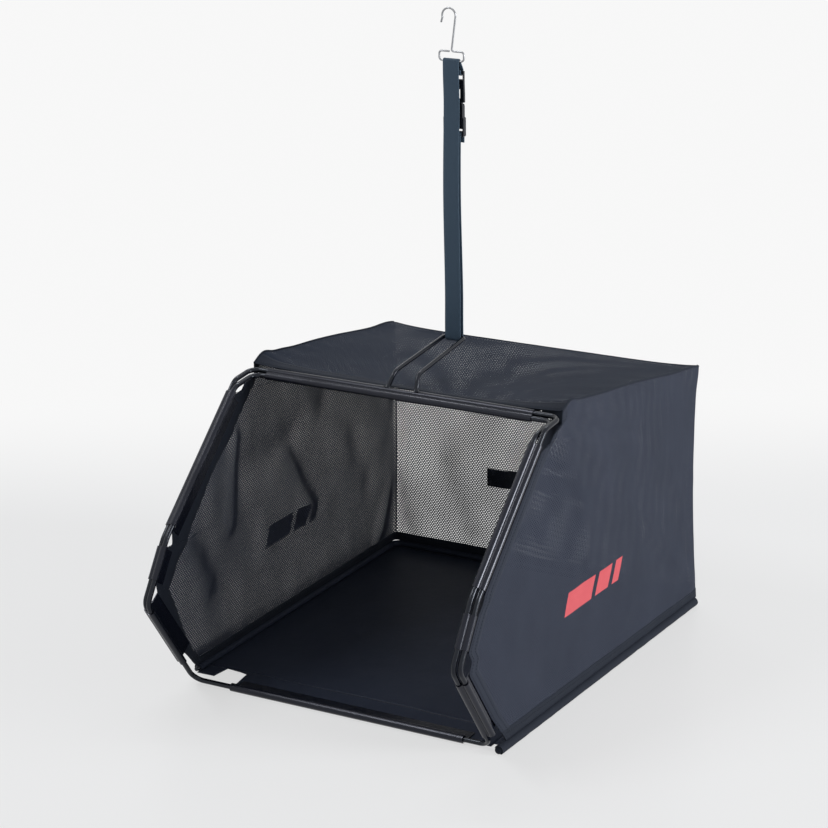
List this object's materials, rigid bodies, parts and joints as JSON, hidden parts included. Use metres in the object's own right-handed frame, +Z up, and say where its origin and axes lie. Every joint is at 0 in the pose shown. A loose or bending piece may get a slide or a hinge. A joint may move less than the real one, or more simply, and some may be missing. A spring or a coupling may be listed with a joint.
{
  "type": "grass catcher",
  "caption": "Soft grass catcher for a hand mower: bent steel mouth frame with clip rails, mesh fabric bag with solid floor, lifting bail, strap with buckle and wire hook",
  "frame": {"origin": "middle of the base of the whole part, on the surface that the floor panel rests on", "axes": "+X across the mouth to the right side, +Y from the mouth towards the back of the bag, +Z up along the strap"},
  "size_m": [0.4422, 0.6032, 0.76],
  "materials": {
    "painted_steel": "black gloss paint on bent steel rod",
    "clip_plastic": "extruded dark plastic with a satin sheen",
    "mesh_fabric": "black porous mesh cloth, coated, see-through against light",
    "floor_fabric": "solid black woven cloth",
    "webbing": "woven flat webbing, blue-black",
    "buckle_plastic": "moulded black plastic, satin",
    "zinc_wire": "bright zinc-plated wire"
  },
  "bodies": {
    "root": {"front_frame": "painted_steel", "bag_hoop": "painted_steel", "floor_rod": "painted_steel", "lifting_bail": "painted_steel", "clip_top": "clip_plastic", "clip_bottom": "clip_plastic", "clip_lower_left": "clip_plastic", "clip_lower_right": "clip_plastic", "clip_middle_left": "clip_plastic", "clip_middle_right": "clip_plastic", "clip_upper_left": "clip_plastic", "clip_upper_right": "clip_plastic", "top_panel": "mesh_fabric", "left_panel": "mesh_fabric", "right_panel": "mesh_fabric", "back_panel": "mesh_fabric", "floor_panel": "floor_fabric", "rear_grab_handle": "webbing", "strap": "webbing", "buckle_plug": "buckle_plastic", "buckle_socket": "buckle_plastic"},
    "hook": {"hook": "zinc_wire"}
  },
  "joints": [
    {"name": "hook_swing", "type": "hinge", "parent": "root", "child": "hook", "pos_m": [0, 0.06109, 0.699], "axis": [1, 0, 0], "range_deg": [-75, 75]}
  ]
}
